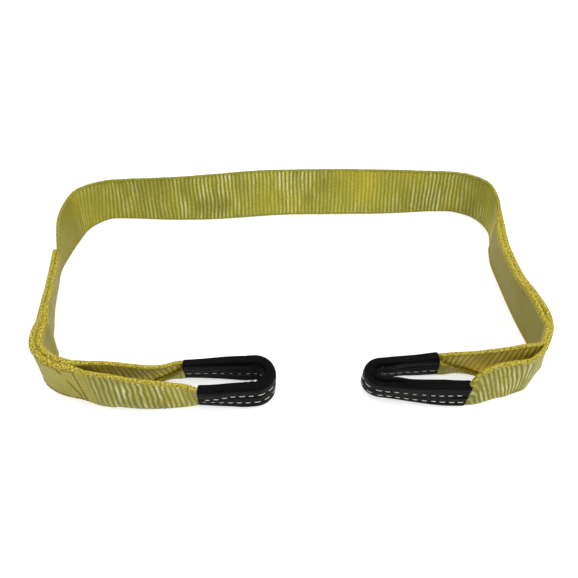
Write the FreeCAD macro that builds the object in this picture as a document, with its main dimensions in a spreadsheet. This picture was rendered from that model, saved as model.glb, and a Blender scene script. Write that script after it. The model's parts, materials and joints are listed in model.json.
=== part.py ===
import FreeCAD, Part
import math
import os
import Sketcher

# Flat eye-and-eye web lifting sling, 50 mm web, about 1.2 m bearing to bearing.
# It stands on edge on the floor, Z = 0, as a C seen from above: the back run lies
# at +Y, the sides at +X (right) and -X (left), and both eyes at the front, -Y.
# The web is cut into straight links that meet at upright bending axes. Each link
# has its start axis at its own origin and runs along its own +X. Its +Y is to the
# left of the run and +Z goes across the width of the web.

os.makedirs("parts", exist_ok=True)
doc = FreeCAD.newDocument("web_sling")
sheet = doc.addObject("Spreadsheet::Sheet", "Sizes")


# ---- sizes -----------------------------------------------------------------
class Size:
    """A number together with the cell formula that gives it."""

    def __init__(self, value, formula):
        self.value = float(value)
        self.formula = formula

    def __add__(self, other):
        other = wrap(other)
        return Size(self.value + other.value, "(%s + %s)" % (self.formula, other.formula))

    def __sub__(self, other):
        other = wrap(other)
        return Size(self.value - other.value, "(%s - %s)" % (self.formula, other.formula))

    def __mul__(self, other):
        other = wrap(other)
        return Size(self.value * other.value, "(%s * %s)" % (self.formula, other.formula))

    def __neg__(self):
        return Size(-self.value, "(0 - %s)" % self.formula)


def wrap(number):
    if isinstance(number, Size):
        return number
    return Size(number, "%.6f" % number if number >= 0 else "(0 - %.6f)" % -number)


def root(size):
    return Size(math.sqrt(size.value), "sqrt(%s)" % size.formula)


next_row = 1


def cell(alias, value, note):
    """Write one row of the spreadsheet and return its size."""
    global next_row
    sheet.set("A%d" % next_row, note)
    sheet.set("B%d" % next_row, repr(value))
    sheet.setAlias("B%d" % next_row, alias)
    next_row += 1
    return Size(value, "Sizes." + alias)


def axis_cells(name, point):
    cell(name + "_x", round(point.x, 4), name + " bending axis, X")
    cell(name + "_y", round(point.y, 4), name + " bending axis, Y")


WEB = cell("web_width", 50.0, "width of the web")
PLY = cell("ply_thickness", 3.5, "thickness of one ply")
BEND_GAP = cell("bend_clearance", 0.05, "radial clearance at each bending line")
SETBACK = cell("bend_setback", 0.84, "setback of a link from its bending axis, in radii")
FOLD = cell("folded_height", 25.0, "height of the web folded in half")
SKIN = cell("sleeve_wall", 1.5, "wall of the wear sleeve")
SLEEVE_HEIGHT = cell("sleeve_height", 28.0, "height of the sleeved eye")
SLEEVE_THICK = cell("sleeve_thickness", 10.0, "thickness of the sleeved eye")
BEARING = cell("bearing_radius", 13.0, "centre-line radius at the eye bearing")
THREAD = cell("thread_radius", 0.6, "radius of the sewing thread")
STAGGER = cell("throat_stagger", 1.6, "how much sooner the inner leg parts at the throat")
PITCH = cell("stitch_pitch", 7.0, "stitch pitch")
DASH = cell("stitch_length", 4.2, "visible length of a sleeve stitch")
LAP_RIGHT = cell("lap_start_right", 13.0, "start of the second ply past the right shoulder")
LAP_LEFT = cell("lap_start_left", 17.0, "start of the second ply past the left side bend")

ZERO = wrap(0.0)
HALF = PLY * 0.5
THREAD_PROUD = 0.4   # how far a thread stands out of the face it is sewn through
ROW_MARGIN = 3.0     # stitch row to the edge of the web
BORE_GAP = 0.05      # sleeve bore to folded web, all round
FINGER_GAP = 0.05    # between the interleaved fingers of two sleeve halves
BORE_STOP = 2.0      # end of the sleeve bore, short of the bearing curve
FOLD_STOP = 2.1      # end of the folded web, short of the bearing curve

# Bending axes in plan: X, Y.
AXES = {
    "back_middle": (5.35, 136.18),
    "back_right": (100.35, 134.58),
    "shoulder_right_one": (192.35, 132.68),
    "shoulder_right_two": (215.85, 120.88),
    "shoulder_right_three": (224.85, 95.38),
    "side_right": (216.55, -4.62),
    "corner_right_one": (222.35, -82.62),
    "corner_right_two": (211.85, -104.12),
    "throat_right": (198.85, -115.12),
    "back_left": (-89.65, 123.78),
    "shoulder_left_one": (-182.65, 119.58),
    "shoulder_left_two": (-208.15, 109.88),
    "shoulder_left_three": (-224.85, 85.38),
    "side_left": (-223.65, 25.38),
    "corner_left_one": (-198.65, -99.12),
    "corner_left_two": (-182.65, -117.62),
    "throat_left": (-152.45, -129.22),
    "bearing_right": (83.35, -116.12),
    "bearing_left": (-23.15, -119.62),
}
AXES = {name: FreeCAD.Vector(x, y, 0) for name, (x, y) in AXES.items()}
for axis_name, axis_point in AXES.items():
    axis_cells(axis_name, axis_point)

# Where the outer leg of each eye enters its sleeve.
OUTER_BENDS = {
    "right": FreeCAD.Vector(151.35, -129.62, 0),
    "left": FreeCAD.Vector(-82.65, -134.62, 0),
}

# Sleeve mouth past the bending axis of each sleeve half.
MOUTHS = {
    "outer_half_right": 3.5, "inner_half_right": 3.5,
    "outer_half_left": 15.5, "inner_half_left": 9.0,
}


# ---- sketches and features -------------------------------------------------
def origin_part(body, role):
    return [part for part in body.Origin.OriginFeatures if part.Role == role][0]


def sketch(body, name, role="XY_Plane", offset=None):
    sk = body.newObject("Sketcher::SketchObject", name)
    sk.AttachmentSupport = [(origin_part(body, role), "")]
    sk.MapMode = "FlatFace"
    if offset is not None:
        sk.AttachmentOffset = FreeCAD.Placement(
            FreeCAD.Vector(0, 0, offset.value), FreeCAD.Rotation())
        sk.setExpression("AttachmentOffset.Base.z", offset.formula)
    return sk


def hold(sk, kind, edge, point, size):
    """Fix the X or Y distance of a point from the sketch origin."""
    index = sk.addConstraint(Sketcher.Constraint(kind, -1, 1, edge, point, size.value))
    sk.setExpression("Constraints[%d]" % index, size.formula)


def outline(sk, corners, arcs=None):
    """Closed outline. arcs maps an edge number to (centre x, centre y, turn),
    where turn is positive for a counter-clockwise arc."""
    arcs = arcs or {}
    total = len(corners)
    edges = []  # edge, number of its start point, number of its end point
    for i in range(total):
        start, end = (FreeCAD.Vector(x.value, y.value, 0)
                      for x, y in (corners[i], corners[(i + 1) % total]))
        if i not in arcs:
            edges.append((sk.addGeometry(Part.LineSegment(start, end), False), 1, 2))
            continue
        centre_x, centre_y, turn = arcs[i]
        centre = FreeCAD.Vector(centre_x.value, centre_y.value, 0)
        circle = Part.Circle(centre, FreeCAD.Vector(0, 0, 1), (start - centre).Length)
        # Sketch arcs always run counter-clockwise.
        first, last = (start, end) if turn > 0 else (end, start)
        from_angle = math.atan2(first.y - centre.y, first.x - centre.x)
        to_angle = math.atan2(last.y - centre.y, last.x - centre.x)
        while to_angle <= from_angle:
            to_angle += 2 * math.pi
        edge = sk.addGeometry(Part.ArcOfCircle(circle, from_angle, to_angle), False)
        edges.append((edge, 1, 2) if turn > 0 else (edge, 2, 1))
        hold(sk, "DistanceX", edge, 3, centre_x)
    for i in range(total):
        edge, _, end = edges[i]
        following, start, _ = edges[(i + 1) % total]
        sk.addConstraint(Sketcher.Constraint("Coincident", edge, end, following, start))
    for (edge, start, _), (x, y) in zip(edges, corners):
        hold(sk, "DistanceX", edge, start, x)
        hold(sk, "DistanceY", edge, start, y)


def rectangle(sk, x_low, y_low, x_high, y_high):
    outline(sk, [(x_low, y_low), (x_high, y_low), (x_high, y_high), (x_low, y_high)])


def circle_at(sk, x, y, radius):
    centre = FreeCAD.Vector(x.value, y.value, 0)
    edge = sk.addGeometry(Part.Circle(centre, FreeCAD.Vector(0, 0, 1), radius.value), False)
    index = sk.addConstraint(Sketcher.Constraint("Radius", edge, radius.value))
    sk.setExpression("Constraints[%d]" % index, radius.formula)
    hold(sk, "DistanceX", edge, 3, x)
    hold(sk, "DistanceY", edge, 3, y)


def extrude(body, kind, name, sk, length):
    feature = body.newObject(kind, name)
    feature.Profile = sk
    feature.Length = length.value
    feature.setExpression("Length", length.formula)
    return feature


def pad(body, name, sk, length):
    return extrude(body, "PartDesign::Pad", name, sk, length)


def pocket(body, name, sk, length, reverse=False):
    extrude(body, "PartDesign::Pocket", name, sk, length).Reversed = reverse


def repeat(body, feature, direction, count, step):
    """Linear pattern of count copies, closing the body."""
    span = step * (count - 1)
    pattern = body.newObject("PartDesign::LinearPattern", body.Label + "_pattern")
    pattern.Originals = [feature]
    pattern.Direction = (origin_part(body, direction), [""])
    pattern.Occurrences = count
    pattern.Length = span.value
    pattern.setExpression("Length", span.formula)
    body.Tip = pattern
    doc.recompute()


bodies = []


def new_body(name, axis, angle):
    body = doc.addObject("PartDesign::Body", name)
    body.Label = name
    body.Placement = FreeCAD.Placement(
        axis, FreeCAD.Rotation(FreeCAD.Vector(0, 0, 1), angle))
    bodies.append(body)
    return body


# ---- links and threads -----------------------------------------------------
def link(alias, start, end, drop=0.0):
    """Heading and length of a link whose end axis sits drop to its left."""
    run = end - start
    angle = math.degrees(math.atan2(run.y, run.x) - math.asin(drop / run.Length))
    length = math.sqrt(run.Length ** 2 - drop ** 2)
    note = "length of " + alias.replace("_", " ")
    return angle, cell(alias, round(length, 4), note)


def hollow_sizes(radius):
    """Hollow that clears a rounded edge of this radius: its own radius, the
    setback of the link's end and half the chord there."""
    reach = radius + BEND_GAP
    setback = radius * SETBACK
    return reach, setback, root(reach * reach - setback * setback)


def strip(name, axis, angle, length, low, high, round_end, hollow=None, plain_start=None):
    """One upright ply from local y low to high. round_end is the radius and the
    centre y of its rounded far end. Its start is hollowed about the origin to
    clear the radius hollow, or else cut square at plain_start."""
    radius, centre_y = round_end
    arcs = {1: (length, centre_y, 1)}
    end_low = end_high = length
    # A ply that only touches the end axis gets a quarter round.
    if abs(low.value - centre_y.value) < 1e-6:
        end_low = length + radius
    elif abs(high.value - centre_y.value) < 1e-6:
        end_high = length + radius

    if hollow is None:
        start_low = plain_start
        closing = [(plain_start, high)]
    else:
        reach, setback, chord = hollow_sizes(hollow)
        start_low = setback
        hollow_arc = (ZERO, ZERO, -1)
        if abs(high.value) < 1e-6:
            closing = [(reach, high), (setback, -chord)]
            arcs[3] = hollow_arc
        else:
            closing = [(setback, high), (setback, chord)]
            arcs[4] = hollow_arc
            if abs(low.value) < 1e-6:
                start_low = reach
            else:
                closing.append((setback, -chord))

    body = new_body(name, axis, angle)
    sk = sketch(body, name + "_plan")
    outline(sk, [(start_low, low), (end_low, low), (end_high, high)] + closing, arcs)
    pad(body, name + "_pad", sk, WEB)
    doc.recompute()


def stitch_count(run):
    return int(run.value / PITCH.value) + 1


def threads(name, axis, angle, columns, heights, low, high, count,
            step=PITCH, direction="X_Axis"):
    """Round threads from local y low to high, repeated along one axis."""
    body = new_body(name, axis, angle)
    body.AllowCompound = True
    sk = sketch(body, name + "_rows", "XZ_Plane", -high)
    for z in heights:
        for x in columns:
            circle_at(sk, x, z, THREAD)
    feature = pad(body, name + "_pad", sk, high - low)
    doc.recompute()
    repeat(body, feature, direction, count, step)


STITCH_ROWS = [wrap(ROW_MARGIN), WEB - ROW_MARGIN]
TWO_PLY_FACE = PLY + THREAD_PROUD


def single_link(name, start, end):
    """One ply centred on its axes."""
    axis = AXES[start]
    angle, length = link(name + "_length", axis, AXES[end])
    strip(name, axis, angle, length, -HALF, HALF, (HALF, ZERO), hollow=HALF)


def lapped_link(name, start, end, lap_start):
    """One ply where the link begins, two where it ends."""
    axis = AXES[start]
    angle, length = link(name, axis, AXES[end], -HALF.value)
    lap_face = -(HALF + PLY)
    round_end = (PLY, -HALF)
    strip(name + "_main_ply", axis, angle, length, -HALF, HALF, round_end, hollow=HALF)
    strip(name + "_lap_ply", axis, angle, length, lap_face, -HALF, round_end,
          plain_start=lap_start)
    threads(name + "_stitching", axis, angle, [lap_start + 3.0], STITCH_ROWS,
            lap_face - THREAD_PROUD, HALF + THREAD_PROUD,
            stitch_count(length - lap_start - 6.0))


def double_link(name, start, end):
    """Two plies, one on each side of the axes."""
    axis = AXES[start]
    angle, length = link(name, axis, AXES[end])
    round_end = (PLY, ZERO)
    strip(name + "_main_ply", axis, angle, length, ZERO, PLY, round_end, hollow=PLY)
    strip(name + "_lap_ply", axis, angle, length, -PLY, ZERO, round_end, hollow=PLY)
    threads(name + "_stitching", axis, angle, [wrap(5.0)], STITCH_ROWS,
            -TWO_PLY_FACE, TWO_PLY_FACE, stitch_count(length - 8.0))


def throat(tag, main_length_cut, lap_length_cut):
    """Two plies, each rounded about its own leg's bending axis. Returns the heading."""
    name = "throat_" + tag
    axis = AXES["corner_%s_two" % tag]
    angle, length = link(name, axis, AXES[name])
    strip(name + "_main_ply", axis, angle, length - main_length_cut, ZERO, PLY,
          (HALF, HALF), hollow=PLY)
    strip(name + "_lap_ply", axis, angle, length - lap_length_cut, -PLY, ZERO,
          (HALF, -HALF), hollow=PLY)
    # Two upright columns of thread across the width of the web.
    threads(name + "_bar_tack", axis, angle, [length - 9.0, length - 5.0],
            [wrap(ROW_MARGIN)], -TWO_PLY_FACE, TWO_PLY_FACE, 12,
            step=wrap(4.0), direction="Z_Axis")
    return angle


# ---- back run and shoulders: one ply ---------------------------------------
def back_middle_right():
    """The link that carries a rounded edge at both ends."""
    name = "back_middle_right_web"
    axis = AXES["back_middle"]
    angle, length = link(name + "_length", axis, AXES["back_right"])
    body = new_body(name, axis, angle)
    sk = sketch(body, name + "_plan")
    outline(sk, [(ZERO, -HALF), (length, -HALF), (length, HALF), (ZERO, HALF)],
            {1: (length, ZERO, 1), 3: (ZERO, ZERO, 1)})
    pad(body, name + "_pad", sk, WEB)
    doc.recompute()


back_middle_right()
single_link("back_middle_left_web", "back_middle", "back_left")
for side in ("right", "left"):
    one, two, three = ("shoulder_%s_%s" % (side, n) for n in ("one", "two", "three"))
    single_link("back_end_%s_web" % side, "back_" + side, one)
    single_link("shoulder_%s_web_a" % side, one, two)
    single_link("shoulder_%s_web_b" % side, two, three)

# ---- sides, corners and throats --------------------------------------------
# The second ply starts above the side bend on the right, below it on the left.
lapped_link("side_upper_right", "shoulder_right_three", "side_right", LAP_RIGHT)
double_link("side_lower_right", "side_right", "corner_right_one")
single_link("side_upper_left_web", "shoulder_left_three", "side_left")
lapped_link("side_lower_left", "side_left", "corner_left_one", LAP_LEFT)
for side in ("right", "left"):
    double_link("corner_" + side, "corner_%s_one" % side, "corner_%s_two" % side)
# The ply on the inside of the turn parts first: the lap ply on the right, the
# main ply on the left.
THROAT_ANGLES = {
    "right": throat("right", ZERO, STAGGER),
    "left": throat("left", STAGGER, ZERO),
}


# ---- eyes ------------------------------------------------------------------
# The two legs of an eye and the two halves of its sleeved bearing make a
# parallelogram from the throat to the bearing. The outer leg and half lie on the
# front, -Y, side of the eye and the inner ones behind them.
def leg(name, start, end):
    """One ply that runs from full width to the web folded in half."""
    angle, length = link(name + "_length", start, end)
    axis_cells(name, start)
    body = new_body(name, start, angle)
    throat_end = sketch(body, name + "_throat_end", "YZ_Plane", HALF * SETBACK)
    rectangle(throat_end, -HALF, ZERO, HALF, WEB)
    sleeve_end = sketch(body, name + "_sleeve_end", "YZ_Plane", length)
    rectangle(sleeve_end, -PLY, SKIN, PLY, SKIN + FOLD)
    loft = body.newObject("PartDesign::AdditiveLoft", name + "_loft")
    loft.Profile = throat_end
    loft.Sections = [sleeve_end]
    loft.Ruled = True
    doc.recompute()
    edge_plan = sketch(body, name + "_edge_plan", "XY_Plane", SKIN)
    circle_at(edge_plan, length, ZERO, PLY)
    pad(body, name + "_edge", edge_plan, FOLD)
    hollow_plan = sketch(body, name + "_hollow_plan", "XY_Plane", WEB)
    circle_at(hollow_plan, ZERO, ZERO, HALF + BEND_GAP)
    pocket(body, name + "_hollow", hollow_plan, WEB)
    doc.recompute()


def folded_web(label, axis, angle, length):
    name = "folded_web_" + label
    body = new_body(name, axis, angle)
    sk = sketch(body, name + "_plan", "XY_Plane", SKIN)
    _, setback, chord = hollow_sizes(PLY)
    end = length - FOLD_STOP
    outline(sk, [(setback, -PLY), (end, -PLY), (end, PLY), (setback, PLY),
                 (setback, chord), (setback, -chord)], {4: (ZERO, ZERO, -1)})
    pad(body, name + "_pad", sk, FOLD)
    doc.recompute()


# Cuts that leave the interleaved fingers: name, top of the cut, depth.
FINGER = SLEEVE_HEIGHT * (1.0 / 3.0)
FINGER_CUTS = {
    "outer": [("_middle", FINGER * 2.0 + FINGER_GAP, FINGER + 2 * FINGER_GAP)],
    "inner": [("_low", FINGER + FINGER_GAP, FINGER + FINGER_GAP),
              ("_top", SLEEVE_HEIGHT, FINGER + FINGER_GAP)],
}

# Plan of a finger cut about the bearing axis: along the run, away from the run.
FINGER_CUT_PLAN = [(0.0, 2.0), (0.0, 0.0), (11.0, -19.05), (25.0, -3.0), (25.0, 2.0)]


def sleeve(which, label, axis, angle, length, mouth, turn):
    """Bored half sleeve with a quarter turn about the bearing axis, which lies
    at local +Y when turn is 1 and at -Y when it is -1."""
    name = "sleeve_" + label
    body = new_body(name, axis, angle)
    sk = sketch(body, name + "_plan")
    half_thick = SLEEVE_THICK * 0.5
    bearing_y = BEARING * turn
    near, far = half_thick * turn, half_thick * -turn
    outline(sk, [(mouth, far), (length, far),
                 (length + BEARING + half_thick, bearing_y),
                 (length + BEARING - half_thick, bearing_y),
                 (length, near), (mouth, near)],
            {1: (length, bearing_y, turn), 3: (length, bearing_y, -turn)})
    pad(body, name + "_pad", sk, SLEEVE_HEIGHT)
    doc.recompute()
    whole = body.Shape.Volume

    for suffix, top, depth in FINGER_CUTS[which]:
        cut = sketch(body, name + suffix, "XY_Plane", top)
        outline(cut, [(length + x, bearing_y + y * turn) for x, y in FINGER_CUT_PLAN])
        pocket(body, name + suffix + "_cut", cut, depth)
        doc.recompute()
    fingered = body.Shape.Volume

    bore = sketch(body, name + "_bore", "YZ_Plane", mouth)
    rectangle(bore, -PLY - BORE_GAP, SKIN - BORE_GAP,
              PLY + BORE_GAP, SKIN + FOLD + BORE_GAP)
    pocket(body, name + "_bore_cut", bore, length - BORE_STOP - mouth, reverse=True)
    doc.recompute()
    # Each step has to remove at least 100 cubic millimetres.
    if not (body.Shape.Volume < fingered - 100 and fingered < whole - 100):
        raise RuntimeError("a cut missed in " + name)


def sleeve_stitches(label, axis, angle, length, mouth):
    """Two rows of lock stitch along the lower edge, through sleeve and web."""
    name = "sleeve_stitches_" + label
    body = new_body(name, axis, angle)
    body.AllowCompound = True
    face = SLEEVE_THICK * 0.5 + THREAD_PROUD
    sk = sketch(body, name + "_rows", "XZ_Plane", -face)
    # Height of a row, and its start past the mouth; a stitch is 1 mm high.
    for z, start in ((4.0, 3.0), (9.5, 5.0)):
        rectangle(sk, mouth + start, wrap(z - 0.5), mouth + start + DASH, wrap(z + 0.5))
    feature = pad(body, name + "_pad", sk, face * 2.0)
    doc.recompute()
    repeat(body, feature, "X_Axis", stitch_count(length - mouth - 12.0), PITCH)


def eye(tag, outer_sign):
    """outer_sign: side of the throat, in its local Y, that the outer ply is on."""
    bearing = AXES["bearing_" + tag]
    throat_axis = AXES["throat_" + tag]
    turned = FreeCAD.Rotation(FreeCAD.Vector(0, 0, 1), THROAT_ANGLES[tag])
    offset = outer_sign * HALF.value
    outer_start = throat_axis + turned.multVec(FreeCAD.Vector(0, offset, 0))
    inner_start = throat_axis + turned.multVec(FreeCAD.Vector(-STAGGER.value, -offset, 0))
    outer_bend = OUTER_BENDS[tag]
    # The inner leg is parallel to the outer half, but for half the ply offset.
    inner_bend = inner_start + (bearing - outer_bend) + (outer_start - inner_start) * 0.5
    leg("outer_leg_%s_web" % tag, outer_start, outer_bend)
    leg("inner_leg_%s_web" % tag, inner_start, inner_bend)
    for which, bend, turn in (("outer", outer_bend, -outer_sign),
                              ("inner", inner_bend, outer_sign)):
        label = "%s_half_%s" % (which, tag)
        angle, length = link(label + "_run", bend, bearing, turn * BEARING.value)
        mouth = cell(label + "_mouth", MOUTHS[label], "sleeve mouth past the bending axis")
        axis_cells(label, bend)
        folded_web(label, bend, angle, length)
        sleeve(which, label, bend, angle, length, mouth, turn)
        sleeve_stitches(label, bend, angle, length, mouth)


eye("right", 1)
eye("left", -1)

# ---- check and export ------------------------------------------------------
doc.recompute()
for body in bodies:
    bad = [item.Name for item in [body] + list(body.Group)
           if "Invalid" in item.State or "Error" in item.State]
    if bad or body.Shape.isNull() or not body.Shape.isValid():
        raise RuntimeError("bad shape in %s %s" % (body.Label, bad))
    body.Shape.exportStep("parts/%s.step" % body.Label)
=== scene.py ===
import json
import math

import bpy
import numpy as np
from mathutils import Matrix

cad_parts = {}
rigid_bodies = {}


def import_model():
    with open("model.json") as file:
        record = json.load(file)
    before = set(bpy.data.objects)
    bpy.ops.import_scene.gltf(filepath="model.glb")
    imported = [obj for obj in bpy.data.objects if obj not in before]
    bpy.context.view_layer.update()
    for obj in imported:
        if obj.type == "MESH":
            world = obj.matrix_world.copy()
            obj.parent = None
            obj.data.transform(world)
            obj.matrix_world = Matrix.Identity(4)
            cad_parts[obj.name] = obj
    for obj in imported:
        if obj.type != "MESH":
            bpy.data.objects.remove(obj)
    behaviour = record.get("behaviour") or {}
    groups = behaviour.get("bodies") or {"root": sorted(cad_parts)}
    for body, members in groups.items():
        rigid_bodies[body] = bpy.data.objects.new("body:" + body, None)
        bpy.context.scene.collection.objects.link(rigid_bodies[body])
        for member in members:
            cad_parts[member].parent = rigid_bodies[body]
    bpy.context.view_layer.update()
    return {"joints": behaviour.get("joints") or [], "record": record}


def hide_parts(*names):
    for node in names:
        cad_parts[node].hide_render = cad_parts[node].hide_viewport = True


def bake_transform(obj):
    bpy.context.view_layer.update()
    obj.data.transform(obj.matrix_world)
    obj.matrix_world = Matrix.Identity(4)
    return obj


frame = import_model()
MM = 0.001

# ---------------------------------------------------------------- numbers
PLY = 3.3          # one ply of web, mm
WEB = 50.0
RIB = 4.3          # rib pitch
DS = RIB / 8.0     # station spacing along the web

joint_at = {j["name"]: (j["pos_m"][0] / MM, j["pos_m"][1] / MM) for j in frame["joints"]}
joint_bodies = {j["name"]: (j["parent"], j["child"]) for j in frame["joints"]}


# ---------------------------------------------------------------- small maths
def smooth(x):
    x = np.clip(x, 0.0, 1.0)
    return x * x * (3 - 2 * x)


def lattice(i, j, seed):
    h = (i.astype(np.int64) * 374761393 + j.astype(np.int64) * 668265263 + seed * 974634777) & 0x7FFFFFFF
    h = ((h ^ (h >> 13)) * 1274126177) & 0x7FFFFFFF
    h = (h ^ (h >> 16)) & 0xFFFF
    return h / 65535.0


def noise(x, y, seed=0):
    """Value noise, -1..1."""
    x, y = np.broadcast_arrays(np.asarray(x, float), np.asarray(y, float))
    i, j = np.floor(x), np.floor(y)
    u, v = smooth(x - i), smooth(y - j)
    a, b = lattice(i, j, seed), lattice(i + 1, j, seed)
    c, d = lattice(i, j + 1, seed), lattice(i + 1, j + 1, seed)
    return ((a * (1 - u) + b * u) * (1 - v) + (c * (1 - u) + d * u) * v) * 2 - 1


def unit(a):
    return a / np.maximum(np.linalg.norm(a, axis=-1, keepdims=True), 1e-9)


def hermite(keys, t, q):
    """Piecewise cubic through keys (n, k) at parameters t, read at q."""
    d = np.zeros_like(keys)
    h = np.diff(t)
    m = np.diff(keys, axis=0) / h[:, None]
    d[1:-1] = (m[:-1] * h[1:, None] + m[1:] * h[:-1, None]) / (h[1:] + h[:-1])[:, None]
    d[0], d[-1] = m[0], m[-1]
    i = np.clip(np.searchsorted(t, q, side="right") - 1, 0, len(t) - 2)
    s = ((q - t[i]) / h[i])[:, None]
    hh = h[i][:, None]
    return (keys[i] * (1 + 2 * s) * (1 - s) ** 2 + d[i] * hh * s * (1 - s) ** 2
            + keys[i + 1] * s * s * (3 - 2 * s) + d[i + 1] * hh * s * s * (s - 1))


def mesh_from(name, verts, faces, uv=None, attrs=None, sharp_angle=None):
    me = bpy.data.meshes.new(name)
    me.from_pydata([tuple(v) for v in (verts * MM).tolist()], [], faces)
    me.update()
    if uv is not None:
        layer = me.uv_layers.new(name="UVMap")
        loop_v = np.zeros(len(me.loops), np.int32)
        me.loops.foreach_get("vertex_index", loop_v)
        layer.data.foreach_set("uv", uv[loop_v].astype(np.float32).ravel())
    for key, val in (attrs or {}).items():
        at = me.attributes.new(key, "FLOAT", "POINT")
        at.data.foreach_set("value", np.asarray(val, np.float32))
    me.shade_smooth()
    if sharp_angle:
        me.set_sharp_from_angle(angle=math.radians(sharp_angle))
    ob = bpy.data.objects.new(name, me)
    bpy.context.scene.collection.objects.link(ob)
    return ob


# ---------------------------------------------------------------- web sections
# Each key: top x y z, bottom x y z of a ply's middle surface (or, where marked,
# of a face: off is the distance from that face to the middle, outward positive),
# and the fold line's depth under the top selvedge.
OUT, INN = -PLY / 2, PLY / 2
GAP2 = 3.55        # spacing of the two plies

RIGHT_SIDE = [  # inner face of the right side, front to back
    ((215.0, -82.5, 49.6), (220.3, -78.9, 0.0)),
    ((213.4, -56.4, 49.6), (219.0, -54.0, 0.0)),
    ((208.1, -31.2, 49.2), (217.2, -29.3, 0.0)),
    ((206.6, -5.8, 49.3), (216.3, -4.6, 0.0)),
    ((206.9, 19.3, 49.6), (215.5, 20.2, 0.0)),
    ((210.6, 44.1, 49.8), (215.8, 45.1, 0.0)),
]
BACK = [  # inner face, right shoulder round to the left side
    ((217.4, 69.0, 49.9), (221.5, 70.2, 0.0)),
    ((221.8, 94.6, 49.9), (225.8, 95.3, 0.0)),
    ((218.1, 118.7, 50.0), (217.1, 118.5, 0.0)),
    ((196.8, 131.3, 50.0), (195.8, 131.4, 0.0)),
    ((172.0, 134.9, 49.9), (171.4, 133.3, 0.0)),
    ((147.0, 136.3, 49.9), (146.9, 132.2, 0.0)),
    ((122.1, 139.7, 49.1), (122.4, 130.1, 0.0)),
    ((97.4, 143.6, 47.8), (97.8, 128.8, 0.0)),
    ((72.5, 145.4, 47.0), (73.1, 128.3, 0.0)),
    ((48.0, 145.4, 46.9), (48.2, 128.1, 0.0)),
    ((23.4, 145.3, 46.9), (23.5, 127.9, 0.0)),
    ((-1.6, 144.3, 46.9), (-1.0, 127.0, 0.0)),
    ((-26.8, 141.4, 47.0), (-25.5, 124.6, 0.0)),
    ((-51.2, 136.7, 47.6), (-49.9, 121.5, 0.0)),
    ((-75.5, 132.1, 48.2), (-74.6, 118.9, 0.0)),
    ((-99.8, 127.4, 49.0), (-99.4, 117.5, 0.0)),
    ((-124.3, 123.3, 49.6), (-124.1, 117.3, 0.0)),
    ((-148.8, 120.6, 49.9), (-149.0, 117.8, 0.0)),
    ((-173.5, 118.9, 50.0), (-174.0, 119.0, 0.0)),
    ((-198.1, 115.3, 49.9), (-198.9, 117.9, 0.0)),
    ((-219.3, 102.4, 49.9), (-216.8, 100.4, 0.0)),
    ((-224.2, 78.4, 49.9), (-223.1, 77.1, 0.0)),
    ((-223.2, 54.2, 49.8), (-226.7, 53.1, 0.0)),
    ((-217.3, 31.1, 48.6), (-228.8, 29.3, 0.0)),
]
LEFT_SIDE = [
    ((-210.0, 6.9, 47.6), (-224.9, 4.6, 0.0)),
    ((-205.4, -18.1, 47.6), (-220.5, -20.0, 0.0)),
    ((-201.2, -44.1, 48.3), (-214.3, -44.8, 0.0)),
    ((-197.1, -70.7, 49.1), (-206.2, -69.4, 0.0)),
    ((-192.4, -97.7, 49.6), (-196.9, -93.6, 0.0)),
]
LEFT_CORNER = [  # outer face
    ((-202.6, -84.8, 50), (-208.4, -83.0, 0)),
    ((-203.0, -95.8, 50), (-207.6, -96.4, 0)),
    ((-200.6, -108.5, 50), (-203.8, -106.6, 0)),
    ((-196.3, -116.7, 50), (-198.8, -113.5, 0)),
    ((-190.3, -122.7, 50), (-192.8, -118.3, 0)),
    ((-184.9, -127.6, 50), (-186.2, -121.9, 0)),
    ((-174.1, -132.9, 50), (-176.2, -125.4, 0)),
    ((-162.7, -135.6, 50), (-164.2, -128.4, 0)),
]


def keys_of(rows):
    """rows of (top, bottom, off, fold depth) to middle-surface keys."""
    t = np.array([r[0] for r in rows], float)
    b = np.array([r[1] for r in rows], float)
    rear = (t[:, 1] > 100) & (t[:, 0] > -212) & (t[:, 0] < 210)
    b[:, 1] -= rear * np.interp(b[:, 0], [-160, -120, 150, 190], [0.0, 1.3, 1.3, 0.0])
    front = (b[:, 1] < -130) & (b[:, 0] > -160) & (b[:, 0] < -70)
    b[:, 1] -= front * 0.8
    t[:, 1] += rear * np.interp(t[:, 0], [-200, -150, -40, 0, 100, 130, 200], [2.4, 3.0, 3.0, 1.2, 1.2, 2.6, 2.6])
    off = np.array([r[2] for r in rows], float)
    fold = np.array([r[3] for r in rows], float)
    for pts in (t, b):
        tan = np.gradient(pts, axis=0)
        tan[:, 2] = 0
        tan = unit(tan)
        n = np.stack([tan[:, 1], -tan[:, 0], np.zeros(len(tan))], 1)
        pts += n * off[:, None]
    return np.concatenate([t, b, fold[:, None]], 1)


F = 29.0
TR = (83.35, -116.12)
TL = (-23.15, -119.62)
TIPR = {"right": 10.8, "left": 13.0}  # middle line of the sleeve round the bearing end
SLEEVES = {  # middle line from mouth towards the tip, lean at mouth and tip (degrees, top towards -Y)
    "sleeve_right_outer": ([(148.9, -132.0), (130, -132.1), (113, -130.9), (96.0, -128.4)], (81.2, -115.8), -1, 2.5, 16.0),
    "sleeve_right_inner": ([(131.3, -101.5), (122, -102.4), (112, -103.3), (95.0, -104.4)], (81.2, -115.8), 1, 9.0, 16.0),
    "sleeve_left_outer": ([(-67.4, -133.8), (-52, -134.2), (-38, -133.8), (-33.0, -133.3)], TL, 1, 14.0, 3.0),
    "sleeve_left_inner": ([(-83.2, -107.2), (-68, -106.8), (-50, -106.4), (-35.0, -106.5)], TL, -1, 18.0, 3.0),
}


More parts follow.
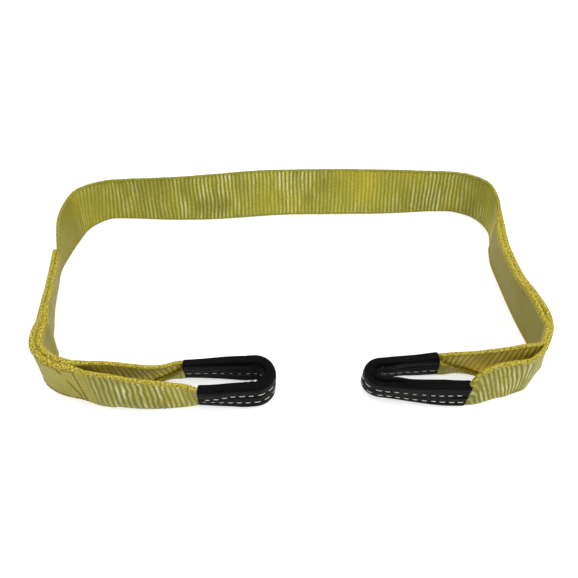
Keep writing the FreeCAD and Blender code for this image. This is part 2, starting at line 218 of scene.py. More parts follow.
def in_sleeve(name, xs, off, zt=26.6, zb=1.5):
    """Keys of the visible ply inside a sleeve: off is its distance from the sleeve's middle, +Y positive."""
    path, tip, turn, l0, l1 = SLEEVES[name]
    p = np.array(path, float)
    r = TIPR["right" if "right" in name else "left"]
    p[-1] = (tip[0] + (12 if path[0][0] > path[-1][0] else -12), tip[1] + (-r if p[0, 1] < tip[1] else r))
    o = np.argsort(p[:, 0])
    out = []
    for x in xs:
        y = np.interp(x, p[o, 0], p[o, 1])
        u = min(abs(x - p[0, 0]) / abs(tip[0] - p[0, 0]), 1.0)
        t = math.tan(math.radians(l0 + (l1 - l0) * u * u * (3 - 2 * u)))
        out.append(((x, y + off - (zt - 14.25) * t, zt), (x, y + off - (zb - 14.25) * t, zb), 0, 25.4))
    return out


run_main = (
    in_sleeve("sleeve_right_outer", (108, 120, 132, 141, 147), -1.35)
    + [((150.4, -133.8, 36.6), (150.8, -132.9, 0.5), 0, 26.5),
     ((154.4, -132.9, 43.0), (154.4, -132.4, 0.2), 0, 26.5),
     ((160.7, -131.4, 46.3), (160.7, -131.2, 0), 0, 28),
     ((168.1, -129.6, 48.2), (168.1, -129.2, 0), 0, F),
     ((179.5, -128.1, 49.3), (179.5, -125.5, 0), 0, F),
     ((191.1, -126.8, 50.0), (190.4, -121.4, 0), 0, F),
     ((200.4, -122.6, 50), (202.4, -118.4, 0), OUT, F),
     ((205.7, -117.7, 50), (208.1, -112.5, 0), OUT, F),
     ((213.4, -106.4, 50), (216.2, -103.0, 0), OUT, F),
     ((220.8, -90.4, 50), (225.7, -92.1, 0), OUT, F),
     ((222.6, -76.0, 50), (227.2, -77.0, 0), OUT, F)]
    + [(t, b, INN + GAP2 + 0.5, F) for t, b in RIGHT_SIDE[1:]]
    + [(BACK[0][0], BACK[0][1], INN + 0.8, F)]
    + [(t, b, INN, F) for t, b in BACK[1:]]
    + [(t, b, INN + (0.5 if i > 2 else 0.0), F) for i, (t, b) in enumerate(LEFT_SIDE[:4])]
    + [(t, b, OUT - 5.8, F) for t, b in LEFT_CORNER]
    + [((-151.5, -127.2, 49.7), (-152.0, -120.3, 0), INN, F),
       ((-134.6, -125.7, 47.2), (-134.6, -115.5, 0), INN, F),
       ((-118.9, -124.2, 42.5), (-118.9, -110.0, 0), INN, 28),
       ((-104.7, -121.5, 36.5), (-104.7, -103.6, 0), INN, 27),
       ((-95.4, -116.6, 31.6), (-95.4, -100.4, 0.2), INN, 26),
       ((-87.0, -110.6, 28.4), (-87.0, -100.4, 0.6), INN, 25.6)]
    + in_sleeve("sleeve_left_inner", (-81, -72, -62, -50), 1.35))
run_lap_right = (
    in_sleeve("sleeve_right_inner", (100, 110, 119, 129), 1.35)
    + [((135.5, -102.4, 29.6), (135.5, -96.6, 0.8), INN, 25.6),
     ((145.5, -104.8, 33.4), (145.5, -94.6, 0.3), INN, 26),
     ((155.7, -107.9, 38.0), (155.7, -94.6, 0), INN, 27),
     ((166.2, -109.8, 42.6), (166.2, -97.0, 0), INN, 28),
     ((179.2, -110.8, 46.8), (179.2, -101.8, 0), INN, F),
     ((192.1, -109.7, 49.6), (192.0, -105.8, 0), INN, F),
     ((205.1, -107.5, 50), (204.7, -107.6, 0), INN, F),
     ((211.4, -98.0, 50), (213.3, -98.6, 0), INN, F),
     ((215.4, -88.5, 50), (218.8, -88.5, 0), INN, F)]
    + [(t, b, INN, F) for t, b in RIGHT_SIDE]
    + [((213.6, 55.4, 49.9), (219.4, 65.5, 0), INN, F)])
run_lap_left = (
    [((-210.4, 8.4, 47.6), (-225.2, 6.2, 0), INN + GAP2 - 0.3, F)]
    + [(t, b, INN + GAP2 + 0.1, F) for t, b in LEFT_SIDE[1:3]]
    + [((-197.1, -70.7, 49.1), (-206.2, -69.4, 0.0), INN + GAP2 + 1.0, F)]
    + [(t, b, OUT - 0.6, F) for t, b in LEFT_CORNER]
    + [
       ((-148.4, -137.9, 50), (-150.0, -131.0, 0), 0, F),
       ((-129.7, -140.4, 48.5), (-131.0, -133.9, 0), 0, F + 1),
       ((-115.2, -141.0, 45.0), (-115.5, -135.0, 0), 0, F),
       ((-97.3, -140.0, 40.0), (-97.3, -135.2, 0), 0, 28),
       ((-83.0, -138.8, 35.4), (-83.0, -134.1, 0.2), 0, 27),
       ((-72.5, -138.0, 31.4), (-72.0, -132.8, 0.6), 0, 26)]
    + in_sleeve("sleeve_left_outer", (-64.5, -56, -47, -38), -1.35))
TURN = 5.6  # width of web taken up by the turn of the fold


class Run:
    """One ply of web: stations along it, its cross curve at each, both faces."""

    def __init__(self, rows, fold_side, seed, slack=0.25, bulge=None):
        k = keys_of(rows)
        mid = (k[:, :3] + k[:, 3:6]) / 2
        t = np.concatenate([[0], np.cumsum(np.linalg.norm(np.diff(mid, axis=0), axis=1))])
        q = np.linspace(0, t[-1], 6000)
        dense = hermite(k, t, q)
        c = (dense[:, :3] + dense[:, 3:6]) / 2
        c[:, 2] = 0
        s = np.concatenate([[0], np.cumsum(np.linalg.norm(np.diff(c, axis=0), axis=1))])
        n = int(round(s[-1] / DS))
        self.s = np.arange(n + 1) * (s[-1] / n)
        d = np.stack([np.interp(self.s, s, dense[:, i]) for i in range(7)], 1)
        top, bot, fold = d[:, :3], d[:, 3:6], d[:, 6]
        # gentle slackness of the cloth
        cen = (top + bot) / 2
        tan = np.gradient(cen, axis=0)
        tan[:, 2] = 0
        tan = unit(tan)
        side = np.stack([tan[:, 1], -tan[:, 0], np.zeros(len(tan))], 1)
        self.tan, self.side, self.cen = tan, side, cen
        down = bot - top
        high = np.linalg.norm(down, axis=1)
        down = unit(down)
        self.v = np.concatenate([[0.9, 1.7, 2.5, 3.4], np.linspace(4.6, 45.4, 30), [46.6, 47.5, 48.3, 49.1]])
        v = self.v
        # cross curve: straight down, then a turn of angle th over TURN, then straight up;
        # the fold starts as a curl of the lower selvedge and its line climbs to mid-width
        a = np.minimum(high - TURN / math.pi, WEB - TURN)
        lo, hi = np.zeros(len(a)), np.full(len(a), math.pi)

        def depth(th):
            thc = np.maximum(th, 1e-6)
            flat = a + np.sin(thc) / (thc / TURN) + (WEB - a - TURN) * np.cos(thc)
            return np.where(thc <= math.pi / 2, flat, a + TURN / thc)

        for _ in range(40):
            m = (lo + hi) / 2
            deep = depth(m) > high
            lo = np.where(deep, m, lo)
            hi = np.where(deep, hi, m)
        th = (lo + hi) / 2 * smooth((49.85 - high) / 0.8)
        th = np.maximum(th, 1e-4)
        self.th = th
        w = WEB - v  # measured down from the top selvedge
        run = w[None, :] - a[:, None]
        bend = np.clip(run / TURN, 0, 1)
        phi = th[:, None] * bend
        kk = th[:, None] / TURN
        straight = np.minimum(w[None, :], a[:, None])
        dn = straight + np.sin(phi) / kk + np.clip(run - TURN, 0, None) * np.cos(th)[:, None]
        ac = (1 - np.cos(phi)) / kk + np.clip(run - TURN, 0, None) * np.sin(th)[:, None]
        dn = dn * (high / depth(th))[:, None]
        # the plies are pressed together inside the sleeves
        self.press = np.interp(high, [25.4, 28.0], [0.78, 1.0])
        ac = ac * np.interp(high, [25.4, 28.0], [0.80, 1.0])[:, None]
        if bulge is not None:
            ac = ac - bulge(self.s / self.s[-1])[:, None] * np.interp(high[:, None] - dn, [0, 2, 10.5, 13.5, 50], [0, 0.25, 1.0, 0.95, 0.0])
        flag = np.asarray(fold_side(self.s / self.s[-1]), float)
        fold_dir = side * flag[:, None]
        fold_dir = unit(fold_dir - (fold_dir * down).sum(1, keepdims=True) * down)
        P = top[:, None, :] + down[:, None, :] * dn[..., None] + fold_dir[:, None, :] * ac[..., None]
        S, V = np.meshgrid(self.s, v, indexing="ij")
        quiet = smooth((high - 44.0) / 5.0)[:, None]
        slackv = slack * (noise(S / 31, V / 60, seed) + 0.5 * noise(S / 13, V / 34, seed + 1)) * quiet
        P = P + side[:, None, :] * slackv[..., None]
        self.P, self.S, self.V = P, S, V
        ts = np.gradient(P, axis=0)
        tv = np.gradient(P, axis=1)
        self.N = unit(np.cross(tv, ts))  # to the right of travel, so outward
        flip = np.sign((self.N * side[:, None, :]).sum(2)[:, -3:].mean())
        self.N *= flip
        self.length = self.s[-1]
        self.seed = seed

    def station(self, xy):
        d = np.hypot(self.cen[:, 0] - xy[0], self.cen[:, 1] - xy[1])
        return float(self.s[int(np.argmin(d))])

    def near(self, s):
        return int(np.clip(round(s / self.length * (len(self.s) - 1)), 0, len(self.s) - 1))


main = Run(run_main, lambda f: np.where(f < 0.5, -1, 1), 11)
lap_r = Run(run_lap_right, lambda f: f * 0 + 1, 23)
lap_l = Run(run_lap_left, lambda f: f * 0 - 1, 37, bulge=lambda f: 2.0 * smooth((f - 0.56) / 0.1) * smooth((0.82 - f) / 0.08))
print("RUNS", main.length, lap_r.length, lap_l.length)


# ---------------------------------------------------------------- cuts and hinges
def bends(run, chain):
    """chain: joint names in order along the run. Returns (s, joint, body before, body after)."""
    out = []
    body = chain[0]
    for j in chain[1:]:
        a, b = joint_bodies[j]
        nxt = b if a == body else a
        assert body in (a, b), (j, body)
        out.append([run.station(joint_at[j]), j, body, nxt])
        body = nxt
    return out


main_bends = bends(main, [
    "outer_half_right", "eye_open_right_outer_half", "eye_open_right", "corner_bend_right_throat",
    "corner_bend_right", "side_bow_right", "shoulder_bend_right_side", "shoulder_bend_right",
    "shoulder_bend_right_back", "back_bend_right", "middle_bend", "back_bend_left",
    "shoulder_bend_left_back", "shoulder_bend_left", "shoulder_bend_left_side", "side_bow_left",
    "corner_bend_left", "corner_bend_left_throat", "eye_open_left_inner_leg", "eye_open_left_inner_half"])
lap_r_bends = bends(lap_r, [
    "inner_half_right", "eye_open_right_inner_half", "eye_open_right_inner_leg",
    "corner_bend_right_throat", "corner_bend_right", "side_bow_right"])
lap_l_bends = bends(lap_l, [
    "side_lower_left", "corner_bend_left", "corner_bend_left_throat",
    "eye_open_left", "eye_open_left_outer_half"])


def plan(run, rows):
    """Pieces of a run: (s0, s1, joint, a, b, start, end) with the bend window inside."""
    ss = [r[0] for r in rows]
    cuts = [0.0] + [(ss[i] + ss[i + 1]) / 2 for i in range(len(ss) - 1)] + [run.length]
    out = []
    for i, (s, j, a, b) in enumerate(rows):
        # a free run bends over a long stretch; where two plies or a sleeve go along, over a short one
        most = 9.0 if j.startswith(("eye_open", "corner", "side_bow")) else 40.0
        before = min(most, 0.85 * (s - cuts[i]))
        after = min(most, 0.85 * (cuts[i + 1] - s))
        k = run.near(s)
        t = unit(run.cen[min(k + 10, len(run.s) - 1)] - run.cen[max(k - 10, 0)])
        t[2] = 0
        t = unit(t)
        h = np.array([joint_at[j][0], joint_at[j][1], 0.0])
        out.append(dict(s0=cuts[i], s1=cuts[i + 1], s=s, joint=j, a=a, b=b,
                        start=h - t * before, end=h + t * after))
    return out


main_plan, lap_r_plan, lap_l_plan = plan(main, main_bends), plan(lap_r, lap_r_bends), plan(lap_l, lap_l_bends)
for nm, pl in (("main", main_plan), ("lap_r", lap_r_plan), ("lap_l", lap_l_plan)):
    print(nm, [(round(p["s0"], 1), round(p["s"], 1), round(p["s1"], 1), p["joint"]) for p in pl])


# ---------------------------------------------------------------- relief of the weave
def window(s, a, b, soft):
    return smooth((s - a) / soft + 0.5) * smooth((b - s) / soft + 0.5)


def relief(run, face, S, V, zones):
    """Height of the woven surface over its mean, and a 0..1 rib signal."""
    sd = run.seed + (0 if face > 0 else 7)
    slant = run.slant(S) if hasattr(run, "slant") else 0.0
    wob = (0.17 if run.seed == 37 else 0.10) * noise(S / 9.0, V / 7.0, sd) + (0.34 if run.seed == 37 else 0.17) * noise(S / 37.0, V / 19.0, sd + 1)
    ph = S / RIB + slant * (V - 25.0) / RIB + wob
    if run is not None and run.seed == 11:
        ph = ph + 0.18 * np.minimum(S - run.fine_end, 0.0) / RIB
    rib = 0.5 + 0.5 * np.cos(2 * math.pi * ph)
    fine = 0.5 + 0.5 * np.cos(4 * math.pi * ph + 1.0)
    k = np.round(ph)
    each = 0.75 + 0.45 * noise(k * 0.73 + 0.5, V / 17.0, sd + 2)
    patch = smooth(0.5 + 1.1 * noise(S / 34.0, V / 60.0, sd + 3))
    if hasattr(run, "pale"):
        patch = np.clip(patch * 0.55 + run.pale(S, V, face), 0, 1)
    amp = zones(S, V, face)
    edge = smooth((np.minimum(V, WEB - V) - 1.2) / 2.2)
    h = amp * each * (0.55 + 0.65 * patch) * (rib ** 1.3 - 0.4) * edge
    # beaded selvedge
    bead = (1 - smooth((np.minimum(V, WEB - V) - 1.5) / 1.2))
    h = h + bead * (0.22 + 0.16 * np.sin(2 * math.pi * S / 2.15 + 1.3 * noise(S / 8, V, sd + 4)))
    h = h + 0.045 * noise(S / 1.1, V / 1.3, sd + 5)
    show = smooth(amp / 0.17)
    sig = 0.58 + (np.clip(rib ** 1.3 * each, 0, 1) - 0.58) * show
    patch = patch * show
    mot = run.mottle(S, V, face) if hasattr(run, "mottle") else np.zeros_like(S)
    h = h + mot * 0.22 * noise(S / 1.15, V / 0.95, sd + 6)
    plain = run.plain(S[:, :1])
    return h, sig, patch, np.maximum(bead * (1 - plain), mot), bead * plain


def build(name, run, p, zones, slot_mat, cap_ends=(True, True)):
    i0, i1 = run.near(p["s0"]), run.near(p["s1"])
    P, N, S, V = (x[i0:i1 + 1] for x in (run.P, run.N, run.S, run.V))
    half = PLY / 2
    hf, sf, pf, bf, ef = relief(run, 1, S, V, zones)
    hb, sb, pb, bb, eb = relief(run, -1, S, V, zones)
    plain = run.plain(S[:, :1])
    across = unit(np.gradient(run.P, axis=1))[i0:i1 + 1]
    thick = (run.thin(S) if hasattr(run, "thin") else np.ones_like(S)) * run.press[i0:i1 + 1][:, None]
    front = P + N * (half * thick + hf)[..., None]
    back = P - N * (half * thick + hb)[..., None]
    angs = (math.radians(52), 0.0, -math.radians(52))

    def cap(end):
        k = -1 if end > 0 else 0
        ring = []
        r = half * thick[:, k] + 0.22
        bump = 0.22 * np.sin(2 * math.pi * S[:, 0] / 2.15 + 0.7) + 0.2 * noise(S[:, 0] / 1.7, 0.0, run.seed + 9)
        for a in angs:
            ring.append(P[:, k] + N[:, k] * (r * math.sin(a))[:, None]
                        + across[:, k] * (end * ((0.9 + 0.5) * math.cos(a) + bump))[:, None])
        return ring

    top, bot = cap(1), cap(-1)
    # ring order: front bottom to top, over the edge, back top to bottom, under the edge
    cols = [front[:, j] for j in range(front.shape[1])] + top
    cols += [back[:, j] for j in range(back.shape[1] - 1, -1, -1)] + bot[::-1]
    m = len(cols)
    verts = np.stack(cols, 1)
    low = verts[..., 2]
    verts[..., 2] = np.where(low < 0.6, 0.6 * np.exp(np.clip(low, -8, 0.6) / 0.6 - 1.0), low)
    nv = front.shape[1]
    z3 = np.zeros((len(S), 3))
    o3 = np.ones((len(S), 3))

    def lay(f, b, t, u):
        return np.concatenate([f, t, b[:, ::-1], u], 1)

    sig = lay(sf, sb, o3 * 0.6, o3 * 0.6)
    pat = lay(pf, pb, o3 * 0.3, o3 * 0.3)
    bead = lay(bf, bb, o3 * (1 - plain), o3 * (1 - plain))
    edge = lay(ef, eb, o3 * plain, o3 * plain)
    vv = lay(V, V + 60.0, o3 * np.array([50.5, 52.5, 55.0]), o3 * np.array([115.0, 117.0, 119.0]))
    facing = lay(V * 0 + 1, V * 0, o3 * 0.5, o3 * 0.5)
    uu = np.repeat(S[:, :1], m, 1)
    r = verts.shape[0]
    idx = np.arange(r * m).reshape(r, m)
    a, b = idx[:-1], idx[1:]
    faces = np.stack([a, np.roll(a, -1, 1), np.roll(b, -1, 1), b], -1).reshape(-1, 4)
    n_side = len(faces)
    faces = faces.tolist()
    flat = verts.reshape(-1, 3)
    # check orientation once: first quad should face outward (front side)
    q = faces[(nv // 2)]
    nrm = np.cross(flat[q[1]] - flat[q[0]], flat[q[2]] - flat[q[0]])
    rev = (nrm @ N[0, nv // 2]) < 0
    ends = []
    if cap_ends[0]:
        ends.append(idx[0].tolist()[::-1])
    if cap_ends[1]:
        ends.append(idx[-1].tolist())
    faces += ends
    if rev:
        faces = [f[::-1] for f in faces]
    ob = mesh_from(name, flat, faces,
                   uv=np.stack([uu.ravel(), vv.ravel()], 1) * 0.1,
                   attrs={"rib": sig.ravel(), "patch": pat.ravel(), "bead": bead.ravel(), "edge": edge.ravel(),
                          "facing": facing.ravel(), "zone": lay(run.zone(S, V, 1), run.zone(S, V, -1), o3 * 0.0, o3 * 0.0).ravel()})
    me = ob.data
    # the flat cuts stay sharp
    sharp = me.attributes.new("sharp_edge", "BOOLEAN", "EDGE") if "sharp_edge" not in me.attributes else me.attributes["sharp_edge"]
    ev = np.zeros(len(me.edges) * 2, np.int32)
    me.edges.foreach_get("vertices", ev)
    ev = ev.reshape(-1, 2)
    ra = ev // m
    mark = ((ra[:, 0] == 0) & (ra[:, 1] == 0)) | ((ra[:, 0] == r - 1) & (ra[:, 1] == r - 1))
    sharp.data.foreach_set("value", mark)
    ob.data.materials.append(slot_mat)
    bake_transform(ob)
    return ob


# ---------------------------------------------------------------- materials
def new_mat(name):
    m = bpy.data.materials.new(name)
    m.use_nodes = True
    nt = m.node_tree
    nt.nodes.clear()
    out = nt.nodes.new("ShaderNodeOutputMaterial")
    bsdf = nt.nodes.new("ShaderNodeBsdfPrincipled")
    nt.links.new(bsdf.outputs[0], out.inputs[0])
    return m, nt, bsdf


def node(nt, kind, **kw):
    n = nt.nodes.new(kind)
    for k, v in kw.items():
        if k.startswith("in_"):
            n.inputs[k[3:]].default_value = v
        else:
            setattr(n, k, v)
    return n


def lin(r, g, b):
    f = lambda c: (c / 255 / 12.92) if c / 255 <= 0.04045 else ((c / 255 + 0.055) / 1.055) ** 2.4
    return (f(r), f(g), f(b), 1.0)


def attr(nt, name):
    return node(nt, "ShaderNodeAttribute", attribute_name=name).outputs["Fac"]


def mixc(nt, fac, a, b, blend="MIX"):
    n = node(nt, "ShaderNodeMix", data_type="RGBA", blend_type=blend)
    for key, val in ((0, fac), (6, a), (7, b)):
        if hasattr(val, "is_output") or isinstance(val, bpy.types.NodeSocket):
            nt.links.new(val, n.inputs[key])
        else:
            n.inputs[key].default_value = val
    return n.outputs[2]


def math_(nt, op, a, b=0.0, c=None, clamp=False):
    n = node(nt, "ShaderNodeMath", operation=op, use_clamp=clamp)
    for i, val in enumerate((a, b) if c is None else (a, b, c)):
        if isinstance(val, bpy.types.NodeSocket):
            nt.links.new(val, n.inputs[i])
        else:
            n.inputs[i].default_value = val
    return n.outputs[0]


def ramp(nt, fac, stops):
    n = node(nt, "ShaderNodeValToRGB")
    el = n.color_ramp.elements
    while len(el) > len(stops):
        el.remove(el[-1])
    while len(el) < len(stops):
        el.new(0.5)
    for e, (p, c) in zip(el, stops):
        e.position = p
        e.color = c
    nt.links.new(fac, n.inputs[0])
    return n.outputs[0]


def scaled_uv(nt, sx, sy, rot=0.0):
    uv = node(nt, "ShaderNodeUVMap", uv_map="UVMap")
    mp = node(nt, "ShaderNodeMapping")
    mp.inputs["Scale"].default_value = (sx, sy, 1)
    mp.inputs["Rotation"].default_value = (0, 0, rot)
    nt.links.new(uv.outputs[0], mp.inputs["Vector"])
    return mp.outputs[0]


def tex_noise(nt, vec, scale, detail=3.0, rough=0.55):
    n = node(nt, "ShaderNodeTexNoise")
    n.inputs["Scale"].default_value = scale
    n.inputs["Detail"].default_value = detail
    n.inputs["Roughness"].default_value = rough
    nt.links.new(vec, n.inputs["Vector"])
    return n.outputs[0]


def web_material():
    # uv is in centimetres along (u) and across (v) the web
    m, nt, bsdf = new_mat("web_cloth")
    big = tex_noise(nt, scaled_uv(nt, 0.22, 0.12), 1.0, 2.0)
    mid = tex_noise(nt, scaled_uv(nt, 1.3, 0.5), 1.0, 3.0)
    streak = tex_noise(nt, scaled_uv(nt, 3.2, 0.45), 1.0, 3.0, 0.6)
    yarn = tex_noise(nt, scaled_uv(nt, 1.6, 11.0), 1.0, 2.0, 0.6)
    base = ramp(nt, big, [(0.32, lin(144, 141, 47)), (0.5, lin(166, 161, 57)), (0.68, lin(186, 174, 60))])
    base = mixc(nt, math_(nt, "MULTIPLY", mid, 0.5), base, lin(172, 160, 48))
    # painted shade: valleys between ribs are darker olive; painted highlight: crests paler, towards pale
    # green-white
    rib = attr(nt, "rib")
    val = math_(nt, "SUBTRACT", 1.0, rib, clamp=True)
    val = math_(nt, "MULTIPLY", math_(nt, "POWER", val, 1.4),
                math_(nt, "ADD", 0.44, math_(nt, "MULTIPLY", attr(nt, "patch"), 0.34)), clamp=True)
    base = mixc(nt, val, base, lin(88, 86, 26))
    pale = math_(nt, "MULTIPLY", math_(nt, "MULTIPLY", math_(nt, "POWER", rib, 2.0), attr(nt, "patch")),
                 ramp_val(nt, streak, 0.36, 0.62), clamp=True)
    base = mixc(nt, math_(nt, "MULTIPLY", pale, 0.90), base, lin(202, 214, 172))
    base = mixc(nt, ramp_val(nt, yarn, 0.42, 0.66), base, mixc(nt, 1.0, base, (0.80, 0.79, 0.66, 1), "MULTIPLY"))
    # zone is painted light and shade: below zero it lifts the colour (painted light on the shaded inner legs),
    # above zero it darkens it towards olive (painted shade)
    painted_light_and_shade = attr(nt, "zone")
    base = mixc(nt, math_(nt, "MULTIPLY", painted_light_and_shade, -1.0, clamp=True), base,
                mixc(nt, 1.0, base, (2.15, 1.82, 1.30, 1), "MULTIPLY"))
    base = mixc(nt, math_(nt, "MULTIPLY", painted_light_and_shade, 0.85, clamp=True), base, lin(118, 108, 28))
    # selvedge beads in their own yellower colour with dark specks, made brighter by a painted highlight for the
    # light from above on the top edge
    bead = attr(nt, "bead")
    speck = tex_noise(nt, scaled_uv(nt, 6.0, 7.5), 1.0, 2.0, 0.65)
    base = mixc(nt, math_(nt, "MULTIPLY", bead, 0.9), base,
                ramp(nt, speck, [(0.36, lin(84, 58, 14)), (0.45, lin(142, 122, 26)), (0.55, lin(170, 156, 44)),
                                 (0.66, lin(206, 196, 100))]))
    edge = attr(nt, "edge")
    base = mixc(nt, math_(nt, "MULTIPLY", edge, 0.72), base,
                ramp(nt, speck, [(0.38, lin(70, 66, 14)), (0.5, lin(116, 114, 24)), (0.62, lin(158, 156, 52))]))
    nt.links.new(base, bsdf.inputs["Base Color"])
    rough = math_(nt, "ADD", 0.42, math_(nt, "MULTIPLY", mid, 0.28))
    nt.links.new(rough, bsdf.inputs["Roughness"])
    bsdf.inputs["Specular IOR Level"].default_value = 0.16
    bsdf.inputs["Sheen Weight"].default_value = 0.02
    bsdf.inputs["Sheen Roughness"].default_value = 0.4
    # warp yarns and twill as bump
    wave = node(nt, "ShaderNodeTexWave", wave_type="BANDS", bands_direction="Y")
    wave.inputs["Scale"].default_value = 2.6
    wave.inputs["Distortion"].default_value = 1.2
    wave.inputs["Detail"].default_value = 1.0
    nt.links.new(scaled_uv(nt, 1.0, 2.4, 0.35), wave.inputs["Vector"])
    h = math_(nt, "ADD", math_(nt, "MULTIPLY", wave.outputs["Fac"], 0.35), math_(nt, "MULTIPLY", yarn, 0.8))
    h = math_(nt, "ADD", h, math_(nt, "MULTIPLY", streak, 0.7))
    h = math_(nt, "ADD", h, math_(nt, "MULTIPLY", math_(nt, "MULTIPLY", speck, bead), 3.0))
    bump = node(nt, "ShaderNodeBump")
    bump.inputs["Strength"].default_value = 0.55
    bump.inputs["Distance"].default_value = 0.00025
    nt.links.new(h, bump.inputs["Height"])
    nt.links.new(bump.outputs[0], bsdf.inputs["Normal"])
    return m


def ramp_val(nt, val, lo, hi):
    n = node(nt, "ShaderNodeMapRange", interpolation_type="SMOOTHSTEP")
    n.inputs["From Min"].default_value = lo
    n.inputs["From Max"].default_value = hi
    nt.links.new(val, n.inputs["Value"])
    return n.outputs["Result"]


WEBMAT = web_material()


# ---------------------------------------------------------------- zones of the web
S_LAP_R = main.station((221.0, 61.0))
S_LAP_L = main.station((-219.0, 7.0))
S_THR_R = main.station(joint_at["eye_open_right"])
S_THR_L = main.station(joint_at["eye_open_left_inner_leg"])
S_CL = main.station((-200.0, -90.0))
S_SH_R = main.station((218.0, 118.0))
S_SH_L = main.station((-206.0, 110.0))


def zones_main(S, V, face):
    """Rib height in mm. face (+1 the outside of the C) is not used."""
    amp = np.full_like(S, 0.18)
    right_side = window(S, S_THR_R + 12, S_LAP_R + 14, 20)
    amp = amp * (1 - 0.85 * right_side)
    left_side = window(S, S_SH_L + 40, S_THR_L - 6, 30)
    amp = amp * (1 - 0.75 * left_side)
    legs = 1 - window(S, S_THR_R - 4, S_THR_L + 4, 10)
    return amp + 0.22 * legs


def zones_lap_r(S, V, face):
    leg = 1 - smooth((S - (lap_r.station(joint_at["eye_open_right_inner_leg"]) + 0)) / 10)
    return 0.03 + 0.30 * leg


def zones_lap_l(S, V, face):
    leg = smooth((S - (lap_l.station(joint_at["eye_open_left"]) + 1)) / 9)
    return 0.05 + 0.35 * leg


def painted_light_and_shade_main(S, V, face):
    # painted light on the outer face of the left inner leg; painted shade on the inner face from the left shoulder
    # to the left throat and by the right shoulder
    if face > 0:
        return -0.8 * smooth((S - S_THR_L - 2) / 14)
    return 0.8 * window(S, S_SH_L + 26, S_THR_L - 8, 30) + 0.35 * window(S, S_SH_R - 18, S_LAP_R + 30, 20)


main.zone = painted_light_and_shade_main
# lap_r: painted light on the right inner leg's outer face, painted shade on its inner face past the right corner;
# lap_l: painted shade, darker up to the left leg
lap_r.zone = lambda S, V, f: (-1.0 * (1 - smooth((S - R_LEG - 6) / 10)) if f > 0 else 1.0 * smooth((S - lap_r.station((206, -106)) - 6) / 14))
lap_l.zone = lambda S, V, f: S * 0 + 0.22 * (1 - smooth((S - L_LEG - 4) / 10))
main.slant = lambda S: 0.22 * np.exp(-((S - S_SH_L - 6) / 34) ** 2) - 0.20 * np.exp(-((S - S_SH_R + 4) / 34) ** 2) \
    + 0.42 * (1 - smooth((S - S_THR_R + 26) / 34))
S_RS0, S_RS1 = main.station((221.0, -95.0)), main.station((213.0, 40.0))
main.thin = lambda S: (1 + 0.46 * window(S, S_CL - 22, S_THR_L - 2, 20)
                       + 0.26 * window(S, S_RS0, S_RS1, 30))
L_LEG = lap_l.station(joint_at["eye_open_left"])
R_LEG = lap_r.station(joint_at["eye_open_right_inner_leg"])
lap_l.thin = lambda S: 1 + 0.46 * window(S, lap_l.station((-203.0, -84.0)) - 10, L_LEG - 2, 20)
lap_r.thin = lambda S: 1 + 0.26 * window(S, R_LEG + 25, lap_r.length - 12, 30)
lap_l.mottle = lambda S, V, f: (1 - smooth((S - L_LEG - 1) / 6)) * (0.30 if f > 0 else 0.5) * (0.75 + 0.25 * noise(S / 5, V / 5, 3))
main.mottle = lambda S, V, f: 0.7 * window(S, S_CL - 20, S_THR_L - 3, 8) * smooth((V - 43) / 3)
lap_r.mottle = lambda S, V, f: 0.9 * smooth((S - R_LEG - 8) / 10) * smooth((V - 45.5) / 1.6)


def pale_main(S, V, face):
    if face < 0:
        # the inner face of the back run: three paler stretches, where the ribs stand higher and carry more painted
        # highlight on their crests
        out = np.zeros_like(S)
        for x, y, w, g in ((-185, 118, 13, 0.35), (-160, 119, 18, 0.45), (-110, 122, 30, 0.6), (-75, 125, 22, 0.45), (5, 136, 16, 0.75), (30, 136, 12, 0.5), (165, 134, 14, 0.65)):
            out = out + g * np.exp(-((S - main.station((x, y))) / w) ** 2)
        return out + 0.25 * smooth((S - S_THR_L - 6) / 20)
    return 0.75 * (1 - smooth((S - S_THR_R - 4) / 14)) * smooth((S - main.station((152, -133)) + 8) / 14)


main.plain = lambda S: window(S, S_LAP_R + 6, S_LAP_L + 8, 14)
main.fine_end = S_THR_R + 10.0
lap_r.plain = lambda S: S * 0.0
lap_l.plain = lambda S: S * 0.0
main.pale = pale_main
lap_l.pale = lambda S, V, f: 0.8 * smooth((S - L_LEG - 3) / 10) * (1 - 0.6 * smooth((S - lap_l.station((-100, -137))) / 24)) if f > 0 else 0.2 + 0 * S
lap_r.pale = lambda S, V, f: 0.15 * (1 - smooth((S - R_LEG) / 14))
print("S", S_LAP_R, S_LAP_L, S_THR_R, S_THR_L)

pieces = []
for nm, run, pl, zn in (("main", main, main_plan, zones_main), ("lap_right", lap_r, lap_r_plan, zones_lap_r),
                        ("lap_left", lap_l, lap_l_plan, zones_lap_l)):
    for i, p in enumerate(pl):
        ob = build("web_%s_%02d_%s" % (nm, i, p["joint"]), run, p, zn, WEBMAT)
        pieces.append((ob, p))
        print(ob.name, len(ob.data.vertices))


n_web = len(pieces)

